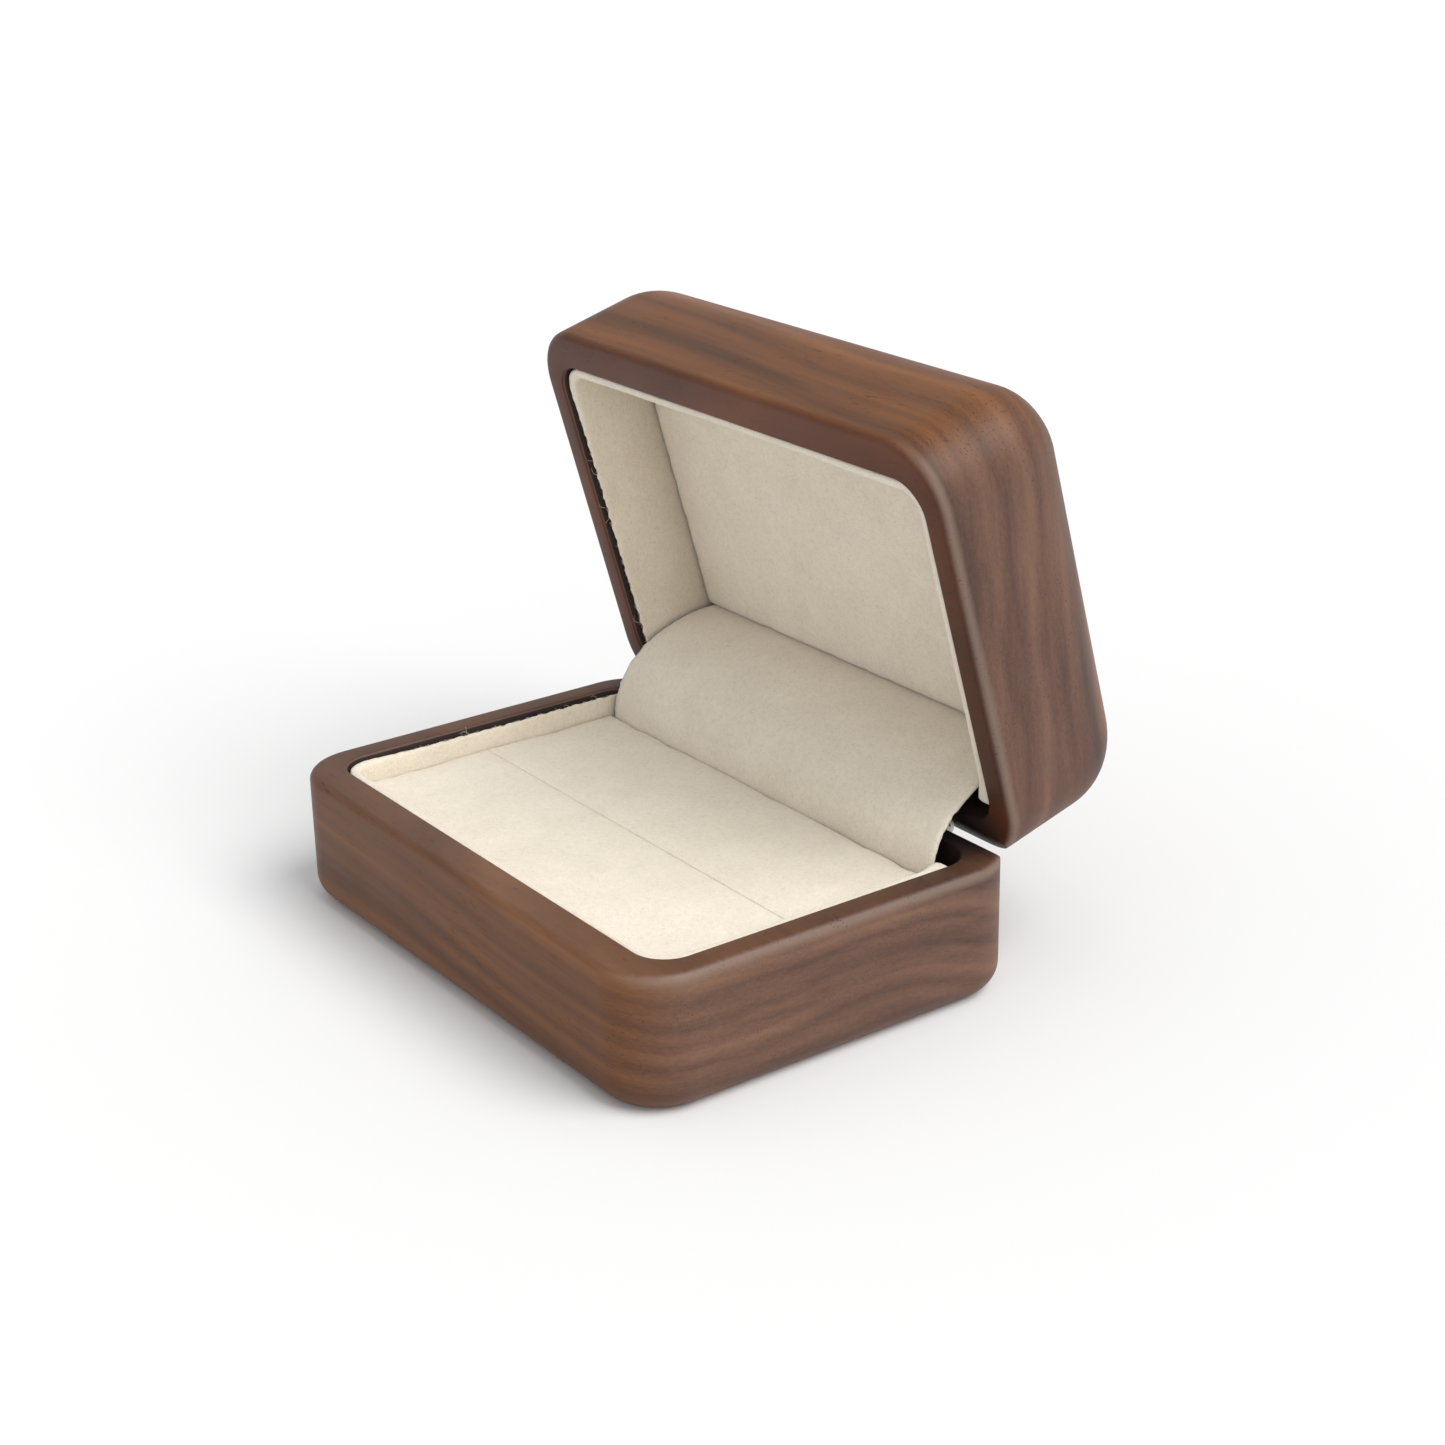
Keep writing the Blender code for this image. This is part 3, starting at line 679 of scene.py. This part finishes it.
def make_linings(cloth):
    """Lining strips of both halves, with the loose fibres along their edges."""
    base_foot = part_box("base_liner_fabric")[0].z
    lid_foot = LID_TOP - LID_ROOF - 0.3 * MM
    base_lip = BASE_RIM - LINING_LIP
    lid_lip = LID_RIM + LINING_LIP
    halves = (("base", BASE_STRIP_ENDS, base_foot, base_lip, 3.0),
              ("lid", LID_STRIP_ENDS, lid_foot, lid_lip, 31.0))
    for half, ends, foot, lip, seed in halves:
        rim_is_up = half == "base"
        path = strip_path(ends)
        bm = strip_bmesh(path, foot, lip, rim_is_up, seed)
        strip = add_piece(f"{half}_lining", bm, cloth, half, opened=not rim_is_up)
        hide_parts(f"{half}_liner_fabric")
        make_fibres(f"{half}_fibres", path, lip, rim_is_up, half, seed, cloth)


# Cushions and lid pad

CUT_SNAP = 0.02 * MM
SIM_SCALE = 20.0
SIM_FRAMES = 18
SLOT_CALM = 2.0 * MM
SLOT_HALF_GAP = 0.03 * MM
REAR_CORNER = 0.3 * MM
CUSHION_GROW = 0.2 * MM
CUSHION_EDGE = 0.16 * MM
CUSHION_CELL = 0.8 * MM
CUSHION_RISE = 0.22 * MM
PAD_EDGE = 0.2 * MM
PAD_CELL = 0.9 * MM
PAD_RISE = 0.10 * MM
MOST_SPREAD = 0.02 * MM
PAD_TOP = 9.8 * MM
PAD_FOOT = 7.8 * MM
PAD_REAR = 17.8 * MM
PAD_CLEARANCE = 0.1 * MM


def slab_bmesh(low, high, front_radius, rear_radius, edge, cell):
    """Block with round vertical corners and tight sewn edges, cut into small cells."""
    outline = []
    corners = ((low.x, low.y, front_radius, 180), (high.x, low.y, front_radius, 270),
               (high.x, high.y, rear_radius, 0), (low.x, high.y, rear_radius, 90))
    for x, y, radius, start in corners:
        centre = (x + (radius if x == low.x else -radius), y + (radius if y == low.y else -radius))
        outline += arc_points(centre, radius, start, start + 90, 5)
    middle = Vector(((low.x + high.x) / 2, (low.y + high.y) / 2))
    half = Vector(((high.x - low.x) / 2, (high.y - low.y) / 2))
    rings = []
    for inset, z in ((edge, low.z), (0.0, low.z + edge), (0.0, high.z - edge),
                     (0.3 * edge, high.z - 0.3 * edge), (edge, high.z)):
        shrink = Vector((1 - inset / half.x, 1 - inset / half.y))
        rings.append([Vector((middle.x + (p.x - middle.x) * shrink.x,
                              middle.y + (p.y - middle.y) * shrink.y, z)) for p in outline])
    bm = loft(rings)
    for axis in range(3):
        span = high[axis] - low[axis]
        count = max(1, round(span / cell))
        for step in range(1, count):
            at, normal = Vector(), Vector()
            at[axis] = low[axis] + span * step / count
            normal[axis] = 1.0
            bmesh.ops.bisect_plane(bm, geom=bm.verts[:] + bm.edges[:] + bm.faces[:],
                                   dist=CUT_SNAP, plane_co=at, plane_no=normal)
    bmesh.ops.dissolve_degenerate(bm, dist=CUT_SNAP / 2, edges=bm.edges[:])
    return bm


def puff(piece, pressure, rise, spread, still_y=None):
    """Let cloth under pressure round the piece, no point moving further than it may.

    Along the plane y = still_y, where two cushion halves press together, nothing moves.
    """
    start = [vert.co.copy() for vert in piece.data.vertices]
    piece.data.transform(Matrix.Scale(SIM_SCALE, 4))
    cloth = modify(piece, "CLOTH")
    cloth.settings.use_pressure = True
    cloth.settings.uniform_pressure_force = pressure
    cloth.settings.quality = 6
    cloth.settings.mass = 0.3
    cloth.settings.tension_stiffness = 15
    cloth.settings.compression_stiffness = 15
    cloth.settings.bending_stiffness = 2.0
    cloth.settings.effector_weights.gravity = 0.0
    for step in range(1, SIM_FRAMES + 1):
        bpy.context.scene.frame_set(step)
    freeze(piece)
    bpy.context.scene.frame_set(1)
    piece.data.transform(Matrix.Scale(1 / SIM_SCALE, 4))
    for vert, before in zip(piece.data.vertices, start):
        moved = vert.co - before
        moved.x = min(spread, max(-spread, moved.x))
        moved.y = min(spread, max(-spread, moved.y))
        moved.z = min(rise, max(-rise, moved.z))
        if still_y is not None:
            moved *= ease(abs(before.y - still_y) / SLOT_CALM)
        vert.co = before + moved
    piece.data.shade_smooth()


def make_cushions(cloth):
    """Two halves of the ring cushion, pressed together along the slot."""
    slot_y = (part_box("cushion_front")[1].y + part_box("cushion_rear")[0].y) / 2
    grow = Vector((CUSHION_GROW, CUSHION_GROW, 0.0))
    for name, front_radius in (("cushion_front", LINED_CORNER), ("cushion_rear", REAR_CORNER)):
        low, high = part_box(name)
        low = low - grow
        high = high + grow
        if name == "cushion_front":
            high.y = slot_y - SLOT_HALF_GAP
        else:
            low.y = slot_y + SLOT_HALF_GAP
        bm = slab_bmesh(low, high, front_radius, REAR_CORNER, CUSHION_EDGE, CUSHION_CELL)
        piece = add_piece(f"{name}_pad", bm, cloth, None)
        puff(piece, 2.0, CUSHION_RISE, MOST_SPREAD, still_y=slot_y)
        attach(piece, "base")
        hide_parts(name)


def make_lid_pad(cloth):
    """Thin flat pad in the lid's roof, simulated shut and then turned open."""
    side = LINED_X - PAD_CLEARANCE
    low = Vector((-side, PAD_CLEARANCE - LINED_Y, LID_TOP - PAD_TOP))
    high = Vector((side, PAD_REAR, LID_TOP - PAD_FOOT))
    bm = slab_bmesh(low, high, LINED_CORNER, REAR_CORNER, PAD_EDGE, PAD_CELL)
    piece = add_piece("lid_pad", bm, cloth, None)
    puff(piece, 1.0, PAD_RISE, MOST_SPREAD)
    piece.data.transform(SHUT_TO_OPEN)
    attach(piece, "lid")
    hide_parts("lid_panel_pad")


# Hinge flap

FLAP_HALF = 31.4 * MM
FLAP_SHIFT = -0.5 * MM
FLAP_FRAY = 0.32 * MM
FLAP_FOOT = Vector((PIVOT.y - 6.6 * MM, PIVOT.z - 2.65 * MM))
FLAP_REACH = 15.95 * MM
FLAP_RISE = 11.75 * MM
FLAP_TUCK_BASE = 4.85 * MM
FLAP_TUCK_LID = 2.5 * MM
FLAP_STEPS = 48
FLAP_CELL = 0.6 * MM
FLAP_CLOTH = (0.0, 0.55 * MM)
FLAP_CARD = (0.72 * MM, 1.2 * MM)
FLAP_UNEVEN = 0.12 * MM


def flap_line():
    """Side view of the flap's shown face, from its foot behind the cushion up into the lid."""
    line = [FLAP_FOOT - Vector((0.0, FLAP_TUCK_BASE))]
    for step in range(FLAP_STEPS + 1):
        angle = math.radians(90) * step / FLAP_STEPS
        line.append(FLAP_FOOT + Vector((FLAP_REACH * (1 - math.cos(angle)),
                                        FLAP_RISE * math.sin(angle))))
    tilt = math.radians(90) - OPEN_ANGLE
    line.append(line[-1] + FLAP_TUCK_LID * Vector((math.cos(tilt), math.sin(tilt))))
    return resample(line, 0.45 * MM)


def bent_sheet(line, near, far, half_width, step, uneven, seed):
    """Sheet that fills near to far behind a side-view line, right across the box.

    It is uneven by a little, thins out towards its cut side edges and frays there.
    """
    columns = round(2 * half_width / step)
    rings = []
    for column in range(columns + 1):
        x = -half_width + 2 * half_width * column / columns
        edge = min(1.0, (half_width - abs(x)) / (1.2 * step))
        ring_near, ring_far = [], []
        for index, point in enumerate(line):
            along = (line[min(index + 1, len(line) - 1)] - line[max(index - 1, 0)]).normalized()
            inward = Vector((along.y, -along.x))
            lift = uneven * noise.noise(Vector((x * 60, index * 0.05, seed)))
            middle = point + inward * ((near + far) / 2 + lift)
            half = (far - near) / 2 * (0.35 + 0.65 * edge)
            fray = FLAP_FRAY * noise.noise(Vector((index * 0.9, seed + 4, x * 40))) * (1 - edge)
            place_x = x + FLAP_SHIFT + fray
            ring_near.append(Vector((place_x, *(middle - inward * half))))
            ring_far.append(Vector((place_x, *(middle + inward * half))))
        rings.append(ring_near + ring_far[::-1])
    return loft(rings)


def make_flap(cloth, card):
    """Cloth flap over the hinge and the card behind it, both drawn bent from the base up into the
    open lid.
    """
    line = flap_line()
    cover_bm = bent_sheet(line, *FLAP_CLOTH, FLAP_HALF, FLAP_CELL, FLAP_UNEVEN, 2.0)
    cover = add_piece("flap_cloth", cover_bm, cloth, None)
    card_bm = bent_sheet(line, *FLAP_CARD, FLAP_HALF - MM, 2 * FLAP_CELL, 0.0, 7.0)
    stiffener = add_piece("flap_card", card_bm, card, None)
    for piece, node in ((cover, "hinge_flap_fabric"), (stiffener, "hinge_flap_card")):
        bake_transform(piece)
        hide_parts(node)


# Frayed fibres along the strips' cut edges

FIBRES = 320
LONG_FIBRE_EVERY = 60
FRAYED_PART = 0.25
FIBRE_STEPS = 4
FIBRE_RADIUS = 0.02 * MM


def tube(bm, points, radius):
    """Thin closed tube through points, three-sided, with tapered ends."""
    rings = []
    for index, point in enumerate(points):
        along = (points[min(index + 1, len(points) - 1)] - points[max(index - 1, 0)]).normalized()
        side = along.orthogonal().normalized()
        up = along.cross(side)
        taper = radius * (0.5 if index in (0, len(points) - 1) else 1.0)
        rings.append([point + taper * (math.cos(a) * side + math.sin(a) * up)
                      for a in (0.0, math.tau / 3, 2 * math.tau / 3)])
    skin(bm, rings)


def make_fibres(name, path, edge_z, rim_is_up, body, seed, cloth):
    """Loose fibre ends that stand off the cut edge on the left, a few of them long."""
    rng = random.Random(int(seed))
    up = 1.0 if rim_is_up else -1.0
    bm = bmesh.new()
    for number in range(FIBRES):
        index = int((2 + (len(path) - 4) * rng.random()) * FRAYED_PART)
        along = (path[index + 1] - path[index - 1]).normalized()
        outward = Vector((along.y, -along.x))
        start = path[index] + outward * rng.uniform(0.1, 0.95) * LINING_THICK
        length = rng.uniform(0.15, 0.5) * MM
        if number % LONG_FIBRE_EVERY == 0:
            length = rng.uniform(0.9, 1.5) * MM
        heading = rng.uniform(-1.3, 1.3)
        lift = rng.uniform(0.1, 0.6)
        way = along * math.sin(heading) + outward * math.cos(heading)
        points = []
        for step in range(FIBRE_STEPS + 1):
            share = step / FIBRE_STEPS
            spot = start + way * length * share
            z = edge_z - up * 0.15 * MM + up * length * lift * math.sin(share * math.pi * 0.8)
            points.append(Vector((spot.x, spot.y, z)))
        tube(bm, points, FIBRE_RADIUS)
    return add_piece(name, bm, cloth, body, opened=not rim_is_up)


# Stage

FLOOR_REACH = 20.0
FLOOR_COLOUR = (0.750, 0.753, 0.760, 1.0)
SKY_STRENGTH = 0.70


def make_stage():
    """Pale floor, even white sky and two broad soft lights from the right."""
    bm = bmesh.new()
    bmesh.ops.create_grid(bm, x_segments=1, y_segments=1, size=FLOOR_REACH)
    mesh = bpy.data.meshes.new("floor")
    bm.to_mesh(mesh)
    bm.free()
    floor = bpy.data.objects.new("floor", mesh)
    floor.location.z = CAD_LOW.z
    bpy.context.collection.objects.link(floor)
    s = Shader("white_floor")
    s.set(Base_Color=FLOOR_COLOUR, Roughness=0.9, Specular_IOR_Level=0.1)
    mesh.materials.append(s.material)

    world = bpy.data.worlds.new("studio")
    bpy.context.scene.world = world
    world.use_nodes = True
    background = world.node_tree.nodes["Background"]
    background.inputs["Color"].default_value = (1.0, 1.0, 1.0, 1.0)
    background.inputs["Strength"].default_value = SKY_STRENGTH

    add_sun("key", (0.56, 0.24, 0.80), 42, 2.28, (1.0, 0.99, 0.97))
    add_sun("fill", (0.90, -0.15, 0.36), 60, 0.70, (1.0, 0.99, 0.98))


def add_sun(name, towards, spread_deg, strength, colour):
    """Distant soft light that shines from the direction towards."""
    data = bpy.data.lights.new(name, "SUN")
    data.angle = math.radians(spread_deg)
    data.energy = strength
    data.color = colour
    light = bpy.data.objects.new(name, data)
    light.location = Vector(towards)
    light.rotation_euler = Vector(towards).to_track_quat("Z", "Y").to_euler()
    bpy.context.collection.objects.link(light)


def make_camera():
    """Camera at the three-quarter view, 55 degrees round to the right and 22 degrees up."""
    azimuth, elevation, roll = math.radians(54.836), math.radians(21.98), math.radians(-1.31)
    distance = 343.476 * MM
    target = Vector((-28.221, 28.225, 10.0)) * MM
    back = Vector((math.sin(azimuth) * math.cos(elevation),
                   -math.cos(azimuth) * math.cos(elevation), math.sin(elevation)))
    right = Vector((math.cos(azimuth), math.sin(azimuth), 0.0))
    up = back.cross(right)
    turned_right = math.cos(roll) * right + math.sin(roll) * up
    turned_up = -math.sin(roll) * right + math.cos(roll) * up
    data = bpy.data.cameras.new("camera")
    data.sensor_width = 36.0
    data.lens = 65.5
    data.shift_x = 0.0172
    data.shift_y = 0.0050
    data.clip_start = 0.01
    camera = bpy.data.objects.new("camera", data)
    turn = Matrix((turned_right, turned_up, back)).transposed().to_4x4()
    camera.matrix_world = Matrix.Translation(target + back * distance) @ turn
    bpy.context.collection.objects.link(camera)
    bpy.context.scene.camera = camera


def finish_carried_nodes(card, steel, spring, brass):
    """Better materials on the CAD nodes that stay."""
    finishes = {"grey_card": card, "plated_steel": steel, "spring_steel": spring,
                "brass_nails": brass}
    slots = {entry["node"]: entry["material_slot"] for entry in frame["record"]["subparts"]}
    for node, item in frame["nodes"].items():
        finish = finishes.get(slots[node])
        if finish:
            item.data.materials.clear()
            item.data.materials.append(finish)


def build():
    """Whole scene, in a fixed order."""
    bpy.context.scene.view_settings.view_transform = "Standard"
    make_camera()
    make_stage()
    cloth = suede("beige_suede")
    card = greyboard()
    steel = metal("plated_steel", (0.45, 0.43, 0.40), (0.68, 0.66, 0.62), 0.32)
    spring = metal("spring_steel", (0.16, 0.17, 0.20), (0.32, 0.33, 0.36), 0.35)
    brass = metal("brass_nails", (0.50, 0.36, 0.16), (0.76, 0.58, 0.30), 0.28)
    make_shells()
    make_linings(cloth)
    make_cushions(cloth)
    make_lid_pad(cloth)
    make_flap(cloth, card)
    finish_carried_nodes(card, steel, spring, brass)


build()
